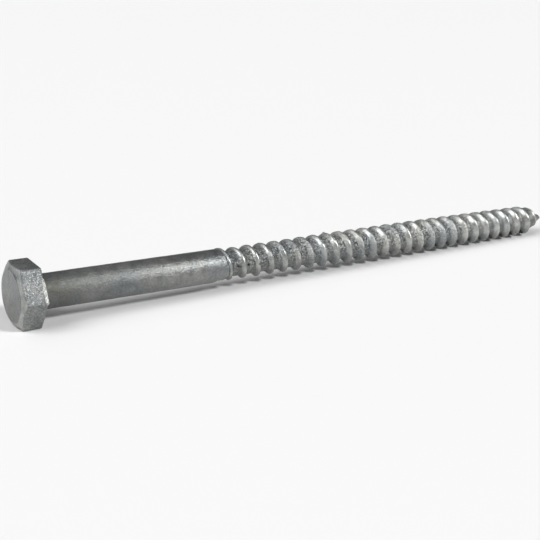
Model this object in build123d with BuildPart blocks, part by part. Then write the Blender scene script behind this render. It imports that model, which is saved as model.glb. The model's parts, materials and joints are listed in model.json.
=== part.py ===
import math
import os

from build123d import *

# Hexagon-head wood screw (lag screw), hot-dip galvanised, all sizes in millimetres.
# The screw is drawn with its axis along +X and the origin in the middle of the head's
# bearing face, then it is laid down: one hexagon flat and the last full thread crest
# touch the surface that it rests on.

# head
across_flats = 16.55
head_height = 6.6
face_diameter = 13.75
chamfer_angle = 29
corner_radius = 0.6
rim_chamfer = 0.35
neck_flare = 0.4

# shaft
screw_length = 180
shank_diameter = 9.5
shank_length = 52
shoulder_length = 4
root_diameter = 7.5
point_angle = 38
nose_diameter = 1.6
nose_length = 1.5
tip_diameter = 0.8

# thread
thread_diameter = 9.9
pitch = 4.6
crest_width = 0.8
flank_angle = 38
first_crest = 54.9
run_in = 5.3
shortest_run_out = 5.8
foot_depth = 0.35
last_crest_diameter = 2.6

shank_radius = shank_diameter / 2
root_radius = root_diameter / 2
nose_radius = nose_diameter / 2
thread_radius = thread_diameter / 2

nose_start = screw_length - nose_length
point_start = nose_start - (root_radius - nose_radius) / math.tan(math.radians(point_angle))
full_thread_start = shank_length + run_in
full_turns = math.floor((nose_start - shortest_run_out - full_thread_start) / pitch)
full_thread_end = full_thread_start + full_turns * pitch


def crest_azimuth(station):
    """Degrees that the thread has turned from the top of the screw at this distance from the head."""
    return 360 * (station - first_crest) / pitch


def ridge_section(station, crest_radius, foot_radius):
    """Trapezoid of the thread ridge in the plane that holds the axis, with its foot in the core."""
    azimuth = math.radians(crest_azimuth(station))
    outward = Vector(0, -math.sin(azimuth), math.cos(azimuth))
    crest_half = crest_width / 2
    foot_half = crest_half + (crest_radius - foot_radius) * math.tan(math.radians(flank_angle))
    axial_plane = Plane(origin=(station, 0, 0), x_dir=(1, 0, 0), z_dir=Vector(1, 0, 0).cross(outward))
    with BuildSketch(axial_plane) as section:
        with BuildLine():
            Polyline(
                (-foot_half, foot_radius),
                (-crest_half, crest_radius),
                (crest_half, crest_radius),
                (foot_half, foot_radius),
                close=True,
            )
        make_face()
    return section.sketch


def ridge_path(start, start_radius, end, end_radius):
    """Right-hand helix on a cylinder or cone about the axis, turned to meet the thread at its start."""
    taper = math.atan2(end_radius - start_radius, end - start)
    path = Helix(
        pitch / math.cos(taper),
        end - start,
        start_radius,
        center=(start, 0, 0),
        direction=(1, 0, 0),
        cone_angle=math.degrees(taper),
        mode=Mode.PRIVATE,
    )
    return path.rotate(Axis.X, crest_azimuth(start))


def ridge(start, start_crest, start_foot, end, end_crest, end_foot):
    """Thread ridge between two distances from the head, with the radii of its crest and foot at each."""
    with BuildPart() as stretch:
        sweep(
            sections=[
                ridge_section(start, start_crest, start_foot),
                ridge_section(end, end_crest, end_foot),
            ],
            path=ridge_path(start, start_foot, end, end_foot),
            multisection=True,
            is_frenet=True,
        )
    return stretch.part


foot_radius = root_radius - foot_depth
buried_crest = shank_radius - foot_depth / 2
run_in_ridge = ridge(
    shank_length, buried_crest, foot_radius, full_thread_start, thread_radius, foot_radius
)
full_turn = ridge(
    full_thread_start, thread_radius, foot_radius, full_thread_start + pitch, thread_radius, foot_radius
)
run_out_ridge = ridge(
    full_thread_end, thread_radius, foot_radius, nose_start, last_crest_diameter / 2, nose_radius - foot_depth
)

with BuildPart() as screw:
    # hexagon head with its top and bottom corners on +Y and -Y, so that a flat faces down
    with BuildSketch(Plane.YZ.offset(-head_height)):
        RegularPolygon(radius=across_flats / 2, side_count=6, major_radius=False)
    extrude(amount=head_height)
    fillet(screw.edges().filter_by(Axis.X), radius=corner_radius)

    # the chamfer turned on the face cuts the six corners
    corner_reach = across_flats / math.sqrt(3)
    chamfer_depth = (corner_reach - face_diameter / 2) * math.tan(math.radians(chamfer_angle))
    with BuildSketch(Plane.XZ):
        with BuildLine():
            Polyline(
                (0, 0),
                (-head_height, 0),
                (-head_height, face_diameter / 2),
                (chamfer_depth - head_height, corner_reach),
                (0, corner_reach),
                close=True,
            )
        make_face()
    revolve(axis=Axis.X, mode=Mode.INTERSECT)
    bearing_face = screw.faces().sort_by(Axis.X)[-1]
    chamfer(bearing_face.edges(), length=rim_chamfer)

    # neck, shank, tapered shoulder, thread core and point, turned about the axis from one outline
    with BuildSketch(Plane.XZ):
        with BuildLine():
            Polyline(
                (-head_height / 2, 0),
                (-head_height / 2, shank_radius + neck_flare),
                (0, shank_radius + neck_flare),
                (neck_flare, shank_radius),
                (shank_length, shank_radius),
                (shank_length + shoulder_length, root_radius),
                (point_start, root_radius),
                (nose_start, nose_radius),
                (screw_length, tip_diameter / 2),
                (screw_length, 0),
                close=True,
            )
        make_face()
    revolve(axis=Axis.X)

    # thread: it rises out of the shank, keeps its height turn after turn and dies out on the point
    add(run_in_ridge)
    with Locations([(turn * pitch, 0, 0) for turn in range(full_turns)]):
        add(full_turn)
    add(run_out_ridge)

# The screw lies on the rim of its lower hexagon flat and on the last full crest that faces down.
turns_to_last_crest = math.floor((full_thread_end - first_crest) / pitch - 0.5)
last_crest = first_crest + (turns_to_last_crest + 0.5) * pitch
rest_tilt = math.degrees(math.atan2(across_flats / 2 - thread_radius, last_crest + rim_chamfer))

with BuildPart() as lag_screw:
    add(screw.part, rotation=(0, rest_tilt, 0))
lag_screw.part.label = "lag_screw"

os.makedirs("parts", exist_ok=True)
export_step(lag_screw.part, "parts/lag_screw.step")
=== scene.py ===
import json
import math

import bpy
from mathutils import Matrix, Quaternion, Vector


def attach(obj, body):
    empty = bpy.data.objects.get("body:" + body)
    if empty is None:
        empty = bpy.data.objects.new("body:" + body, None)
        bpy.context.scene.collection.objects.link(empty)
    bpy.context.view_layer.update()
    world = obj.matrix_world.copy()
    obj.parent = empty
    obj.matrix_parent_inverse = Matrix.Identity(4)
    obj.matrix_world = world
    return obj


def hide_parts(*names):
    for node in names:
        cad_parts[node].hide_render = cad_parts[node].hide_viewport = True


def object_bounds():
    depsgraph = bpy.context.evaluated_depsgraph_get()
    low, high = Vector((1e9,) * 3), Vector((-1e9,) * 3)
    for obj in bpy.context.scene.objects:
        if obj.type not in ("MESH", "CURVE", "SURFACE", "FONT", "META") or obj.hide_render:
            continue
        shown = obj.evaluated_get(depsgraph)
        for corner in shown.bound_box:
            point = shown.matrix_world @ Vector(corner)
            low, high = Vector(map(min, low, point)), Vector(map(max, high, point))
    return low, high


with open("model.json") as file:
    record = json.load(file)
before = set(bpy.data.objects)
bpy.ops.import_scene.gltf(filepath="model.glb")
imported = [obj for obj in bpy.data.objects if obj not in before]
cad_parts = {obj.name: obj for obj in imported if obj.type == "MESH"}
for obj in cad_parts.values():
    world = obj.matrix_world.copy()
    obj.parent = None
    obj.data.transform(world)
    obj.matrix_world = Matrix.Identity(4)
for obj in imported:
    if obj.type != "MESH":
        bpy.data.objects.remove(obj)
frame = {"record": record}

cadLow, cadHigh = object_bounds()
shankMount = next(m for m in frame["record"]["mounts"] if m["name"] == "shank")
shankAxis = Vector(shankMount["axis"])
restTilt = math.atan2(-shankAxis.z, shankAxis.x)  # the tip hangs lower than the head
print("frame loaded, rest tilt", round(math.degrees(restTilt), 3), "degrees")


class Wire:
    # one output socket, so that node maths can be written as sums
    def __init__(self, bench, socket):
        self.bench, self.socket = bench, socket

    def __add__(self, other):
        return self.bench.math("ADD", self, other)

    def __radd__(self, other):
        return self.bench.math("ADD", other, self)

    def __sub__(self, other):
        return self.bench.math("SUBTRACT", self, other)

    def __rsub__(self, other):
        return self.bench.math("SUBTRACT", other, self)

    def __mul__(self, other):
        return self.bench.math("MULTIPLY", self, other)

    def __rmul__(self, other):
        return self.bench.math("MULTIPLY", other, self)

    def __truediv__(self, other):
        return self.bench.math("DIVIDE", self, other)

    def __rtruediv__(self, other):
        return self.bench.math("DIVIDE", other, self)

    def __pow__(self, other):
        return self.bench.math("POWER", self, other)

    def __rpow__(self, other):
        return self.bench.math("POWER", other, self)

    def __lt__(self, other):
        return self.bench.math("LESS_THAN", self, other)

    def __gt__(self, other):
        return self.bench.math("GREATER_THAN", self, other)

    def other(self, name):  # another output of the same node
        outputs = self.socket.node.outputs
        return Wire(self.bench, next(s for s in outputs if s.enabled and s.name == name))


class Bench:
    # puts nodes into one tree
    def __init__(self, tree):
        self.tree = tree

    def node(self, kind, settings=None, values=None):
        made = self.tree.nodes.new(kind)
        for name, value in (settings or {}).items():
            if name == "stops":
                ramp = made.color_ramp
                while len(ramp.elements) < len(value):
                    ramp.elements.new(1)
                for element, (place, colour) in zip(ramp.elements, value):
                    element.position, element.color = place, colour
            else:
                setattr(made, name, value)
        for key, value in (values or {}).items():
            shown = [s for s in made.inputs if s.enabled]
            socket = shown[key] if isinstance(key, int) else next(s for s in shown if s.name == key)
            if isinstance(value, Wire):
                self.tree.links.new(value.socket, socket)
            else:
                socket.default_value = value
        outputs = [s for s in made.outputs if s.enabled]
        return Wire(self, outputs[0]) if outputs else made

    def math(self, operation, *values):
        return self.node("ShaderNodeMath", {"operation": operation}, dict(enumerate(values)))

    def vector(self, x, y, z):
        return self.node("ShaderNodeCombineXYZ", None, {"X": x, "Y": y, "Z": z})

    def split(self, vector):
        parts = self.node("ShaderNodeSeparateXYZ", None, {"Vector": vector})
        return parts, parts.other("Y"), parts.other("Z")

    def noise(self, vector, scale, detail=2.0, roughness=0.5, distortion=0.0):
        sockets = {
            "Vector": vector,
            "Scale": scale,
            "Detail": detail,
            "Roughness": roughness,
            "Distortion": distortion,
        }
        return self.node("ShaderNodeTexNoise", None, sockets)

    def ease(self, value, low, high, start=0.0, end=1.0):  # smooth step from start to end
        sockets = {"Value": value, "From Min": low, "From Max": high, "To Min": start, "To Max": end}
        return self.node("ShaderNodeMapRange", {"interpolation_type": "SMOOTHSTEP"}, sockets)

    def easeBy(self, value, mark, low, high):  # smooth step over a range that is set from a mark
        return self.ease(value, mark + low, mark + high)

    def band(self, value, rise, full, fade, gone):  # fades in, and out again
        return self.ease(value, rise, full) * (1 - self.ease(value, fade, gone))

    def highest(self, a, b):
        return self.math("MAXIMUM", a, b)

    def lowest(self, a, b):
        return self.math("MINIMUM", a, b)

    def mixColour(self, factor, a, b, blend="MIX"):
        settings = {"data_type": "RGBA", "blend_type": blend}
        return self.node("ShaderNodeMix", settings, {"Factor": factor, "A": a, "B": b})


# hot dip zinc: dull and crusted where it pooled, smooth and pale where it ran thin, the paleness partly
# painted light;
# stations along the screw and the bump's depth are in metres
zinc = {
    "dark": (0.050, 0.055, 0.059, 1),
    "light": (0.585, 0.595, 0.575, 1),
    "cool": (0.975, 0.995, 1.02, 1),
    "warm": (1.01, 1.005, 0.985, 1),
    "stain": (0.10, 0.10, 0.082, 1),
    # near-black painted shade for the pinholes
    "pinhole": (0.01, 0.01, 0.01, 1),
    "metallic": 0.88,
    # scale, detail, roughness and distortion of each pattern
    "mottle": (330.0, 4.0, 0.6, 0.3),
    "patch": (90.0, 2.0, 0.5),
    "speck": (1900.0, 3.0, 0.62),
    "grain": (4200.0, 2.0, 0.6),
    "pock": (1150.0, 2.0, 0.5, 0.6),
    # the part of a pattern that counts as bloom, frost, a hollow or warm
    "bloomRange": (0.34, 0.66),
    "frostRange": (0.40, 0.64),
    "hollowRange": (0.36, 0.47),
    "warmRange": (0.4, 0.6),
    # tone between dark and light, and what bloom and frost add to it
    "smoothTone": (0.23, 0.12, 0.04),
    "coarseTone": (0.18, 0.12, 0.0),
    "paleTone": (0.3, 0.25, 0.1),
    "crustFrost": 0.55,
    "rootTone": (0.65, 0.35),  # darker between the ridges
    "tipTone": 0.35,  # painted light: lighter towards the tip
    "tipRange": (0.02, 0.14),
    "patchTone": (0.3, 0.7, 0.92, 1.08),  # a little darker or lighter from patch to patch
    "hollowShade": 0.6,
    "pinholeShade": 0.85,
    # the shank by the head is dull and stained, and brightens towards the thread
    "shankRange": (0.0003, 0.0008),
    "dullRange": (0.006, 0.048),
    "dullShade": 0.3,
    "stainRange": (0.003, 0.014),
    "stainSpots": (0.38, 0.6),
    "stainShade": 0.7,
    # roughness of smooth and of dull zinc, and how far crust, shank, bloom and ridges are dull
    "smooth": 0.22,
    "dull": 0.56,
    "crustDullness": 0.5,
    "unfrostedDullness": 0.7,
    "shankDullness": 0.7,
    "bloomDullness": 0.2,
    "ridgeDullness": 0.35,
    # height of each pattern on smooth zinc, and what crust adds to it
    "speckHeight": (0.3, 1.0),
    "mottleHeight": (0.7, 0.15),
    "grainHeight": (0.05, 0.35),
    "hollowDepth": 0.8,
    "bumpDepth": 0.0003,
}


def zincMaterial():
    material = bpy.data.materials.new("hotDipZinc")
    material.use_nodes = True
    tree = material.node_tree
    tree.nodes.clear()
    bench = Bench(tree)
    place = bench.node("ShaderNodeTexCoord").other("Object")
    station = bench.split(place)[0]
    relief, coarse, pale, pit = (
        bench.node("ShaderNodeAttribute", {"attribute_name": name}).other("Fac")
        for name in ("relief", "coarse", "pale", "pit")
    )
    mottle, patch, speck, grain, pock = (
        bench.noise(place, *zinc[name]) for name in ("mottle", "patch", "speck", "grain", "pock")
    )
    bloom = bench.ease(mottle, *zinc["bloomRange"])
    frost = bench.ease(speck, *zinc["frostRange"])
    hollow = (1 - bench.ease(pock, *zinc["hollowRange"])) * coarse**4
    onShank = bench.ease(station, *zinc["shankRange"])
    dullness = onShank * (1 - bench.ease(station, *zinc["dullRange"]))
    nearHead = 1 - bench.ease(station, *zinc["stainRange"])
    stained = onShank * nearHead * bench.ease(mottle, *zinc["stainSpots"])

    def toneOf(name):
        plain, bloomed, frosted = zinc[name]
        return plain + bloomed * bloom + frosted * frost

    crustTone = zinc["crustFrost"] * frost * coarse**2
    zincTone = toneOf("smoothTone") * (1 - coarse) + toneOf("coarseTone") * coarse + crustTone
    rootTone, ridgeTone = zinc["rootTone"]
    # relief also carries the painted shade on the thread's underside
    shade = zincTone * (rootTone + ridgeTone * relief) * (1 - zinc["dullShade"] * dullness)
    litTone = shade + toneOf("paleTone") * pale
    # painted light: the tone brightens towards the tip
    tipLight = 1 + zinc["tipTone"] * bench.ease(station, *zinc["tipRange"])
    tone = litTone * tipLight * bench.ease(patch, *zinc["patchTone"])
    colour = bench.mixColour(tone, zinc["dark"], zinc["light"])
    tint = bench.mixColour(bench.ease(patch, *zinc["warmRange"]), zinc["cool"], zinc["warm"])
    colour = bench.mixColour(1.0, colour, tint, "MULTIPLY")
    colour = bench.mixColour(zinc["stainShade"] * stained, colour, zinc["stain"])
    colour = bench.mixColour(zinc["hollowShade"] * hollow, colour, zinc["dark"])
    # painted shade: the pinholes are darkened to near-black inside the pits
    colour = bench.mixColour(zinc["pinholeShade"] * pit, colour, zinc["pinhole"])

    worn = (
        coarse * (zinc["crustDullness"] + zinc["unfrostedDullness"] * (1 - frost))
        + zinc["shankDullness"] * dullness
        + zinc["bloomDullness"] * bloom
        + zinc["ridgeDullness"] * pale
    )
    rough = zinc["smooth"] + (zinc["dull"] - zinc["smooth"]) * bench.lowest(worn, 1)

    def layer(pattern, name):
        plain, crusted = zinc[name]
        return pattern * (plain + crusted * coarse)

    height = (
        layer(speck, "speckHeight")
        + layer(mottle, "mottleHeight")
        + layer(grain, "grainHeight")
        - hollow * zinc["hollowDepth"]
    )
    bump = bench.node(
        "ShaderNodeBump", None, {"Strength": 1.0, "Distance": zinc["bumpDepth"], "Height": height}
    )
    surface = bench.node(
        "ShaderNodeBsdfPrincipled",
        None,
        {"Base Color": colour, "Metallic": zinc["metallic"], "Roughness": rough, "Normal": bump},
    )
    bench.node("ShaderNodeOutputMaterial", None, {"Surface": surface})
    return material


# lengths in millimetres, stations along the axis from the head's bearing face, turns in radians;
# single numbers are the tree's inputs, and the rest are ranges or a noise's scale and detail
lagScrew = {
    "acrossFlats": 16.46,
    "headHeight": 6.56,
    "faceRadius": 6.9,
    "chamferSlope": 0.554,
    "cornerSoftness": 0.7,
    "neckRadius": 5.3,
    # zinc that ran past the bearing face's rim, and the line behind it
    "lipReach": 0.38,
    "lipStart": 0.86,
    "lipStartBlend": (-0.08, 0.08),
    "lipEnd": 1.6,
    "lipEndBlend": (-0.05, 0.05),
    "lipRim": (0.84, 0.96),  # shares of the corner's reach
    "lipRange": (-0.8, -0.1),
    "lipPale": (-0.6, -0.2),
    "lipGroove": 0.12,
    "grooveStation": -1.0,
    "grooveWidth": (0.05, 0.3),
    # the shank's end runs with the thread for part of a turn, and is rolled down on its underside
    "shankRadius": shankMount["dims"]["r_mm"] - 0.02,
    "shankEnd": 53.3,
    "endTurn": 0.11,  # this and the reach in whole turns
    "endReach": 0.39,
    "endReturn": 1.25,
    "endBlend": (-8, -1),
    "endSettle": (0.5, 9),
    "endDip": 0.4,
    "dipTurn": (1.9, 2.5, 3.2, 3.9),
    "dipRange": (-3.4, -1.6),
    "rootStart": 54.6,
    "rootRadius": 3.72,
    "rootEndRadius": 3.2,
    "rootEnd": 174.5,
    "nubStart": 178.7,
    "nubRadius": 0.95,
    "tipRadius": 0.475,
    "length": 179.88,
    "pitch": 4.6,
    "firstCrest": 54.9,
    "crestRadius": 4.93,
    "crestFall": 0.3,  # the crests are lower at both ends of the thread
    "crestMiddle": 120.0,
    "crestReach": 55.0,
    "startBurr": 0.38,  # the first turn is thrown up beside the shank's end
    "startBurrReach": 2.6,
    "pointApex": 180.5,
    "pointSlope": 0.6,
    "apexRadius": 0.12,
    "pointSoftness": 0.5,
    "crestWander": 0.3,
    "wanderRadius": 4.0,
    "wanderNoise": (0.45, 2.0),
    "crestHalfWidth": 0.32,
    "headFlank": 1.0,  # rise of the flank that faces the head, and of the one that faces the tip
    "tipFlank": 1.9,
    "crestSoftness": 0.28,
    "rootSoftness": 0.35,
    "threadBlend": (-0.2, 0.6),
    "tipBlend": (-0.3, -0.02),
    "ridgeSink": 10.0,  # takes the ridge out of sight past both ends of the thread
    "reliefMargin": 0.2,
    # a nib of zinc on top of one ridge
    "burrStation": 91.4,
    "burrTurn": 5.9,
    "burrRadius": 0.8,
    "burrHeight": 0.35,
    # pinholes in the zinc, in line along the thread
    "pitStation": 58.75,
    "pitSpacing": 3.35,
    "pitTurn": 1.52,
    "pitRadius": 0.5,
    "pitFloor": 0.3,  # share of the radius
    "pitDepth": 0.35,
    "pitCount": 3,
    # how coarse the zinc lies: on the face, on the flats, on the shank, along the thread
    "faceCoarse": 0.15,
    "flatCoarse": 0.4,
    "flatRange": (-0.93, -0.8),  # shares of the head's height
    "shankSmooth": 0.25,
    "shankBlend": (0, 0.5),
    "smoothRange": (125, 165),  # smoother towards the tip
    "tipCoarse": 0.5,
    "ridgeRange": (0.18, 0.42),
    "ridgeSmooth": 0.9,
    # patches of crust that cover the ridges too
    "patchNoise": (0.16, 1.0),
    "patchSpots": (0.46, 0.58),
    "patchRange": (60, 78),
    "patchCrust": 0.7,
    "patchFade": 0.4,
    # painted shade on the thread's underside: its relief tone drops, its ridges lose their paleness, and
    # its zinc is smoother
    "drainTurn": (1.2, 2.4, 3.9, 4.9),
    "drainRelief": 0.8,
    "drainCoarse": 0.6,
    "drainFade": 0.7,
    # how pale the zinc is on the ridges and on the head's chamfer: thin zinc, and partly painted light
    "ridgePale": 0.62,
    "chamferPale": 0.65,
    "chamferStart": (0.05, 0.3),
    "chamferFade": 0.4,
    "lump": 0.05,
    "lumpNoise": (0.32, 2.0, 0.5),
    "crust": 0.26,
    "crustNoise": (1.5, 2.0, 0.6),
    # rings and columns of the mesh
    "filletSteps": 6,
    "headRings": 96,
    "shankRings": 110,
    "threadRings": 740,
    "columns": 100,
    "cornerGather": 0.72,
    "gatherRange": (2, 45, 1, 0),
    "cornerShare": 0.577,  # corner's reach over the size across flats
    "ringSlack": 0.3,  # spare length for the head's rings
    "threadLead": 1.0,  # the thread's rings begin this far before the shank's end
    "weld": 0.002,
}


def screwOutline():
    # half the screw's outline from the middle of its face to its tip; each point's radius is its fillet
    sizes = lagScrew
    reach = sizes["acrossFlats"] / math.sqrt(3)
    chamferEnd = (reach - sizes["faceRadius"]) * sizes["chamferSlope"] - sizes["headHeight"]
    corners = [
        (-sizes["headHeight"], 0, 0),
        (-sizes["headHeight"], sizes["faceRadius"], 0.5),
        (chamferEnd, reach, 0.3),
        (0, reach, 0.45),
        (0, sizes["shankRadius"], 0.5),
        (sizes["shankEnd"], sizes["shankRadius"], 0.7),
        (sizes["rootStart"], sizes["rootRadius"], 0.5),
        (sizes["rootEnd"], sizes["rootEndRadius"], 1.5),
        (sizes["nubStart"], sizes["nubRadius"], 0.6),
        (sizes["length"], sizes["tipRadius"], 0.3),
        (sizes["length"], 0, 0),
    ]
    curve = bpy.data.curves.new("screwOutline", "CURVE")
    curve.dimensions = "3D"
    spline = curve.splines.new("POLY")
    spline.points.add(len(corners) - 1)
    for point, (station, radius, fillet) in zip(spline.points, corners):
        point.co = (station, radius, 0, 1)
        point.radius = fillet
    outline = bpy.data.objects.new("screwOutline", curve)
    bpy.context.collection.objects.link(outline)
    return outline


def layRings(bench, size, outline):
    # rings along the rounded outline, closest in the thread, and columns round the axis
    fillets = bench.node("GeometryNodeInputRadius")
    rounded = bench.node(
        "GeometryNodeFilletCurve",
        {"mode": "POLY"},
        {"Curve": outline, "Count": size["filletSteps"], "Radius": fillets, "Limit Radius": True},
    )
    outlineLength = bench.node("GeometryNodeCurveLength", None, {"Curve": rounded})
    corner = size["acrossFlats"] * size["cornerShare"]
    headLength = size["faceRadius"] + size["headHeight"] + corner - size["shankRadius"] + size["ringSlack"]
    shankLength = size["shankEnd"] - size["threadLead"]
    rings = size["headRings"] + size["shankRings"] + size["threadRings"] + 1
    posts = size["columns"] + 1
    grid = bench.node("GeometryNodeMeshGrid", None, {"Vertices X": rings, "Vertices Y": posts})
    index = bench.node("GeometryNodeInputIndex")
    ring = bench.math("FLOOR", index / posts)
    column = index - ring * posts
    pastHead = bench.highest(ring - size["headRings"], 0)
    pastShank = bench.highest(pastHead - size["shankRings"], 0)
    along = (
        bench.lowest(ring, size["headRings"]) * headLength / size["headRings"]
        + bench.lowest(pastHead, size["shankRings"]) * shankLength / size["shankRings"]
        + pastShank * (outlineLength - headLength - shankLength) / size["threadRings"]
    )
    sample = bench.node(
        "GeometryNodeSampleCurve", {"mode": "LENGTH"}, {"Curves": rounded, "Length": along}
    )
    station, radius, _ = bench.split(sample.other("Position"))
    turn = bench.math("MODULO", column, size["columns"]) / size["columns"]
    # columns gather at the hexagon's corners, and spread out evenly again along the shank
    gather = size["cornerGather"] * bench.ease(station, *size["gatherRange"])
    azimuth = turn * math.tau + gather / 6 * bench.math("SINE", turn * 6 * math.tau)
    return grid, station, radius, turn, azimuth


def forgeHead(bench, size, station, radius, azimuth):
    # a hexagon whose corners the face's chamfer cuts
    offFlat = bench.math("ABSOLUTE", bench.math("WRAP", azimuth, math.pi / 6, -math.pi / 6))
    halfFlats = size["acrossFlats"] / 2
    hexReach = bench.math(
        "SMOOTH_MIN",
        halfFlats / bench.math("COSINE", offFlat),
        halfFlats / bench.math("COSINE", math.pi / 3 - offFlat),
        size["cornerSoftness"],
    )
    cornerReach = halfFlats * 2 / math.sqrt(3)
    cut = (hexReach - size["faceRadius"]) / (cornerReach - size["faceRadius"])
    squeeze = (hexReach - size["neckRadius"]) / (cornerReach - size["neckRadius"])
    nearFace = radius + bench.highest(radius - size["faceRadius"], 0) * (cut - 1)
    nearNeck = radius + bench.highest(radius - size["neckRadius"], 0) * (squeeze - 1)
    faceSide = station < size["headHeight"] * -0.5
    roundRadius = nearNeck + (nearFace - nearNeck) * faceSide
    height = size["headHeight"]
    depth = station + height
    chamfer = (cornerReach - size["faceRadius"]) * size["chamferSlope"]
    onChamfer = bench.lowest(depth, chamfer) * cut
    onSide = bench.highest(depth - chamfer, 0) * (height - chamfer * cut) / (height - chamfer)
    cutStation = station + (onChamfer + onSide - depth) * (station < 0)

    # the lip of zinc and its groove
    lipEnded = bench.easeBy(azimuth, size["lipEnd"], *size["lipEndBlend"])
    lipTurn = bench.easeBy(azimuth, size["lipStart"], *size["lipStartBlend"]) * (1 - lipEnded)
    rimStart, rimFull = size["lipRim"]
    rim = bench.ease(radius, cornerReach * rimStart, cornerReach * rimFull)
    onLip = bench.ease(cutStation, *size["lipRange"])
    headStation = cutStation + size["lipReach"] * lipTurn * rim * onLip
    fromGroove = bench.math("ABSOLUTE", headStation - size["grooveStation"])
    inGroove = 1 - bench.ease(fromGroove, *size["grooveWidth"])
    headRadius = roundRadius - size["lipGroove"] * lipTurn * rim * inGroove

    # the lip's zinc is smooth, and painted paler as a highlight on its rounding
    lip = lipTurn * rim * bench.ease(headStation, *size["lipPale"])
    chamferEnded = bench.ease(depth, chamfer - size["chamferFade"], chamfer)
    chamferBand = bench.ease(depth, *size["chamferStart"]) * (1 - chamferEnded)
    return headStation, headRadius, lip, chamferBand


def endShank(bench, size, station, turn, azimuth, headStation, headRadius):
    # the shank's end follows the thread's start on one side, and is rolled down under it
    ahead = bench.math("WRAP", turn + size["endTurn"], 1, 0)
    reach = bench.lowest(bench.lowest(ahead, size["endReach"]), (1 - ahead) * size["endReturn"])
    nearEnd = bench.easeBy(station, size["shankEnd"], *size["endBlend"])
    settled = bench.easeBy(station, size["rootStart"], *size["endSettle"])
    blankStation = headStation + reach * size["pitch"] * nearEnd * (1 - settled)
    under = bench.band(azimuth, *size["dipTurn"])
    dip = under * bench.easeBy(station, size["shankEnd"], *size["dipRange"])
    onRoot = bench.ease(station, size["shankEnd"], size["rootStart"])
    blankRadius = headRadius - size["endDip"] * dip * (1 - onRoot)
    return blankStation, blankRadius


def rollThread(bench, size, azimuth, onThread, blankStation, blankRadius):
    # one ridge that winds right-handed and stands on the root
    turns = (blankStation - size["firstCrest"]) / size["pitch"] - azimuth / math.tau
    offCrest = bench.math("WRAP", turns, 0.5, -0.5) * size["pitch"]
    fall = (blankStation - size["crestMiddle"]) / size["crestReach"]
    evenCrest = bench.math(
        "SMOOTH_MIN",
        size["crestRadius"] - size["crestFall"] * fall * fall,
        (size["pointApex"] - blankStation) * size["pointSlope"] + size["apexRadius"],
        size["pointSoftness"],
    )
    pastBurr = bench.ease(blankStation, size["rootStart"], size["rootStart"] + size["startBurrReach"])
    around = bench.vector(
        blankStation,
        bench.math("SINE", azimuth) * size["wanderRadius"],
        bench.math("COSINE", azimuth) * size["wanderRadius"],
    )
    wander = (bench.noise(around, *size["wanderNoise"]) - 0.5) * size["crestWander"]
    crest = evenCrest + size["startBurr"] * (1 - pastBurr) + wander
    headSide = crest + (offCrest + size["crestHalfWidth"]) * size["headFlank"]
    tipSide = crest - (offCrest - size["crestHalfWidth"]) * size["tipFlank"]
    flanks = bench.math("SMOOTH_MIN", headSide, tipSide, size["crestSoftness"])
    rounded = bench.math("SMOOTH_MIN", flanks, crest, size["crestSoftness"])
    pastTip = bench.easeBy(blankStation, size["length"], *size["tipBlend"])
    ridge = rounded - size["ridgeSink"] * (1 - onThread + pastTip)
    threadRadius = bench.math("SMOOTH_MAX", blankRadius, ridge, size["rootSoftness"] * onThread)
    rise = (threadRadius - blankRadius) / (crest - blankRadius + size["reliefMargin"])
    return threadRadius, bench.lowest(bench.highest(rise, 0), 1)


def spotDistance(bench, along, aside):  # over the skin, from the middle of a nib or a pinhole
    return bench.math("SQRT", along * along + aside * aside)


def addNib(bench, size, azimuth, blankStation, threadRadius):
    aside = (azimuth - size["burrTurn"]) * threadRadius
    away = spotDistance(bench, blankStation - size["burrStation"], aside)
    return threadRadius + size["burrHeight"] * (1 - bench.ease(away, 0, size["burrRadius"]))


def pinholes(bench, size, azimuth, blankStation, skinRadius):
    spaces = (blankStation - size["pitStation"]) / size["pitSpacing"]
    along = bench.math("WRAP", spaces, 0.5, -0.5) * size["pitSpacing"]
    inLine = (spaces > -0.5) * (spaces < size["pitCount"] - 0.5)
    away = spotDistance(bench, along, (azimuth - size["pitTurn"]) * skinRadius)
    return inLine * (1 - bench.ease(away, size["pitRadius"] * size["pitFloor"], size["pitRadius"]))


def dipInZinc(bench, size, shape):
    # soft runs everywhere, a crust where the zinc gathered, and the pinholes
    here = bench.node("GeometryNodeInputPosition")
    coarse, pit = (
        bench.node("GeometryNodeInputNamedAttribute", {"data_type": "FLOAT"}, {"Name": name})
        for name in ("coarse", "pit")
    )
    runs = bench.noise(here, *size["lumpNoise"]) - 0.5
    crust = (bench.noise(here, *size["crustNoise"]) - 0.5) * coarse**4
    amount = runs * size["lump"] * 2 + crust * size["crust"] * 2 - pit * size["pitDepth"]
    normal = bench.node("GeometryNodeInputNormal")
    offset = bench.node("ShaderNodeVectorMath", {"operation": "SCALE"}, {0: normal, "Scale": amount})
    return bench.node("GeometryNodeSetPosition", None, {"Geometry": shape, "Offset": offset})


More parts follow.
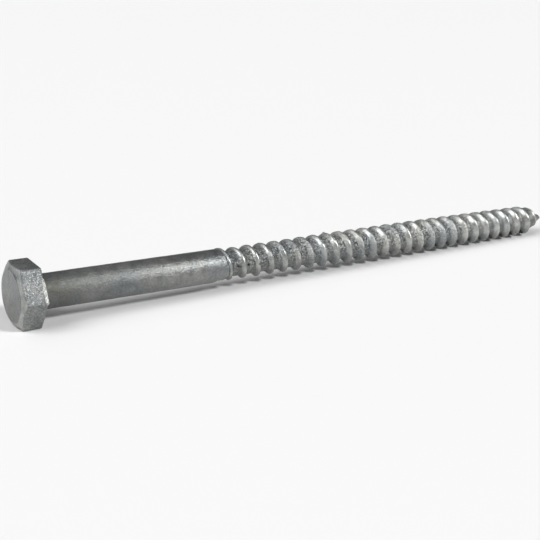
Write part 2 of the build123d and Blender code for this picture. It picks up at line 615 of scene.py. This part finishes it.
def screwTree(material):
    tree = bpy.data.node_groups.new("turnedAndRolled", "GeometryNodeTree")
    tree.interface.new_socket("Geometry", in_out="OUTPUT", socket_type="NodeSocketGeometry")
    tree.interface.new_socket("Geometry", in_out="INPUT", socket_type="NodeSocketGeometry")
    ranges = {name: value for name, value in lagScrew.items() if isinstance(value, tuple)}
    numbers = {name: value for name, value in lagScrew.items() if name not in ranges}
    for name, value in numbers.items():
        kind = "NodeSocketInt" if isinstance(value, int) else "NodeSocketFloat"
        tree.interface.new_socket(name, in_out="INPUT", socket_type=kind).default_value = value
    bench = Bench(tree)
    inputs = bench.node("NodeGroupInput")
    size = {name: inputs.other(name) for name in numbers} | ranges

    grid, station, radius, turn, azimuth = layRings(bench, size, inputs.other("Geometry"))
    headStation, headRadius, lip, chamferBand = forgeHead(bench, size, station, radius, azimuth)
    blankStation, blankRadius = endShank(
        bench, size, station, turn, azimuth, headStation, headRadius
    )
    onThread = bench.easeBy(station, size["shankEnd"], *size["threadBlend"])
    threadRadius, ridgeRelief = rollThread(bench, size, azimuth, onThread, blankStation, blankRadius)
    skinRadius = addNib(bench, size, azimuth, blankStation, threadRadius)
    turned = bench.vector(
        blankStation,
        skinRadius * bench.math("SINE", azimuth) * -1,
        skinRadius * bench.math("COSINE", azimuth),
    )

    # where the zinc lies in relief, coarse or pale
    # painted shade: the thread's underside is darkened through relief and pale, and its zinc made smoother
    shadedUnderside = bench.band(azimuth, *size["drainTurn"]) * onThread
    relief = (ridgeRelief + (1 - ridgeRelief) * (1 - onThread)) * (1 - size["drainRelief"] * shadedUnderside)
    flatStart, flatFull = size["flatRange"]
    flats = bench.ease(station, size["headHeight"] * flatStart, size["headHeight"] * flatFull)
    shankSmooth = size["shankSmooth"] * flats * bench.ease(station, *size["shankBlend"])
    plainCoarse = size["faceCoarse"] + size["flatCoarse"] * flats - shankSmooth * (1 - onThread)
    crusted = bench.ease(blankStation, *size["smoothRange"], 1, size["tipCoarse"])
    spots = bench.ease(bench.noise(turned, *size["patchNoise"]), *size["patchSpots"])
    beforeTip = spots * (crusted - size["tipCoarse"]) / (1 - size["tipCoarse"])
    patches = beforeTip * bench.ease(blankStation, *size["patchRange"])
    rough = crusted * (1 - size["drainCoarse"] * shadedUnderside)
    onRidge = bench.ease(ridgeRelief, *size["ridgeRange"])
    bared = 1 - onRidge * (size["ridgeSmooth"] - size["patchCrust"] * patches)
    coarse = (plainCoarse * (1 - onThread) + onThread * rough * bared) * (1 - lip)
    # paler ridges: thin zinc, and partly painted highlight, with less of it on the underside
    thinAndLitRidge = onThread * onRidge * (1 - size["patchFade"] * patches) * (1 - size["drainFade"] * shadedUnderside)
    # paler chamfer and lip: partly painted light
    headPale = bench.highest(chamferBand * size["chamferPale"], lip)
    pale = bench.highest(headPale, thinAndLitRidge * size["ridgePale"])
    pit = pinholes(bench, size, azimuth, blankStation, skinRadius)

    shape = bench.node("GeometryNodeSetPosition", None, {"Geometry": grid, "Position": turned})
    for name, value in {"relief": relief, "coarse": coarse, "pale": pale, "pit": pit}.items():
        sockets = {"Geometry": shape, "Name": name, "Value": value}
        shape = bench.node("GeometryNodeStoreNamedAttribute", None, sockets)
    shape = bench.node("GeometryNodeMergeByDistance", None, {"Geometry": shape, "Distance": size["weld"]})
    shape = bench.node("GeometryNodeFlipFaces", None, {"Mesh": shape})
    shape = dipInZinc(bench, size, shape)
    shape = bench.node("GeometryNodeSetShadeSmooth", None, {0: shape})
    toMetres = (0.001, 0.001, 0.001)
    sockets = {"Geometry": shape, "Rotation": (0, restTilt, 0), "Scale": toMetres}
    laid = bench.node("GeometryNodeTransform", None, sockets)
    realized = bench.node("GeometryNodeRealizeInstances", None, {"Geometry": laid})
    sockets = {"Geometry": realized, "Material": material}
    finished = bench.node("GeometryNodeSetMaterial", None, sockets)
    bench.node("NodeGroupOutput", None, {"Geometry": finished})
    return tree


def buildScrew(material):
    outline = screwOutline()
    modifier = outline.modifiers.new("turnedAndRolled", "NODES")
    modifier.node_group = screwTree(material)
    for item in modifier.node_group.interface.items_tree:
        if item.in_out == "INPUT" and item.name in lagScrew:
            modifier[item.identifier] = lagScrew[item.name]
    settled = outline.evaluated_get(bpy.context.evaluated_depsgraph_get())
    mesh = bpy.data.meshes.new_from_object(settled)
    outline.modifiers.remove(modifier)
    bpy.data.objects.remove(outline)
    mesh.name = "lagScrew"
    screw = bpy.data.objects.new("lagScrew", mesh)
    bpy.context.collection.objects.link(screw)
    print("screw:", len(mesh.vertices), "points,", len(mesh.polygons), "faces")
    return screw


screw = buildScrew(zincMaterial())
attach(screw, "root")
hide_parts("lag_screw")


# pale floor, soft lamps in front, above and behind, and a camera at the head's end
studio = {
    "floorSize": 12.0,
    "floorColour": (0.8, 0.8, 0.8, 1),
    "floorRoughness": 0.9,
    "keyDirection": (0.42, -0.66, 0.62),  # from the screw to the lamp
    "keyStrength": 2.35,
    "keyAngle": 12.0,
    "fillDirection": (-0.71, -0.1, 0.69),
    "fillStrength": 2.05,
    "fillAngle": 42.0,
    "backDirection": (-0.25, 0.4, 0.88),
    "backStrength": 0.45,
    "backAngle": 64.0,
    "worldStrength": 0.15,
}

view = {
    "aim": (0.07084, -0.00133, -0.00470),
    "azimuth": -122.780,
    "elevation": 19.129,
    "distance": 0.32529,
    "roll": 1.835,
    "lens": 74.675,
    "clip": (0.01, 50),
}


def buildFloor():
    half = studio["floorSize"] / 2
    corners = [(-half, -half), (half, -half), (half, half), (-half, half)]
    mesh = bpy.data.meshes.new("floor")
    mesh.from_pydata([(x, y, cadLow.z) for x, y in corners], [], [(0, 1, 2, 3)])
    material = bpy.data.materials.new("paleFloor")
    material.use_nodes = True
    material.node_tree.nodes.clear()
    bench = Bench(material.node_tree)
    sockets = {"Base Color": studio["floorColour"], "Roughness": studio["floorRoughness"]}
    surface = bench.node("ShaderNodeBsdfPrincipled", None, sockets)
    bench.node("ShaderNodeOutputMaterial", None, {"Surface": surface})
    mesh.materials.append(material)
    floor = bpy.data.objects.new("floor", mesh)
    bpy.context.collection.objects.link(floor)
    return floor


def buildLamps():
    for name in ("key", "fill", "back"):
        light = bpy.data.lights.new(name, "SUN")
        light.energy = studio[name + "Strength"]
        light.angle = math.radians(studio[name + "Angle"])
        lamp = bpy.data.objects.new(name, light)
        lamp.rotation_euler = Vector(studio[name + "Direction"]).to_track_quat("Z", "Y").to_euler()
        bpy.context.collection.objects.link(lamp)
    world = bpy.data.worlds.new("studio")
    world.use_nodes = True
    world.node_tree.nodes.clear()
    bench = Bench(world.node_tree)
    sockets = {"Color": (1, 1, 1, 1), "Strength": studio["worldStrength"]}
    glow = bench.node("ShaderNodeBackground", None, sockets)
    bench.node("ShaderNodeOutputWorld", None, {"Surface": glow})
    bpy.context.scene.world = world


def buildCamera():
    azimuth, elevation = math.radians(view["azimuth"]), math.radians(view["elevation"])
    level = math.cos(elevation)
    back = Vector((math.cos(azimuth) * level, math.sin(azimuth) * level, math.sin(elevation)))
    lens = bpy.data.cameras.new("camera")
    lens.lens = view["lens"]
    lens.clip_start, lens.clip_end = view["clip"]
    camera = bpy.data.objects.new("camera", lens)
    camera.location = Vector(view["aim"]) + back * view["distance"]
    turned = (-back).to_track_quat("-Z", "Y") @ Quaternion((0, 0, 1), math.radians(view["roll"]))
    camera.rotation_euler = turned.to_euler()
    bpy.context.collection.objects.link(camera)
    bpy.context.scene.camera = camera


buildFloor()
buildLamps()
buildCamera()
bpy.context.scene.view_settings.view_transform = "Standard"
print("studio set")
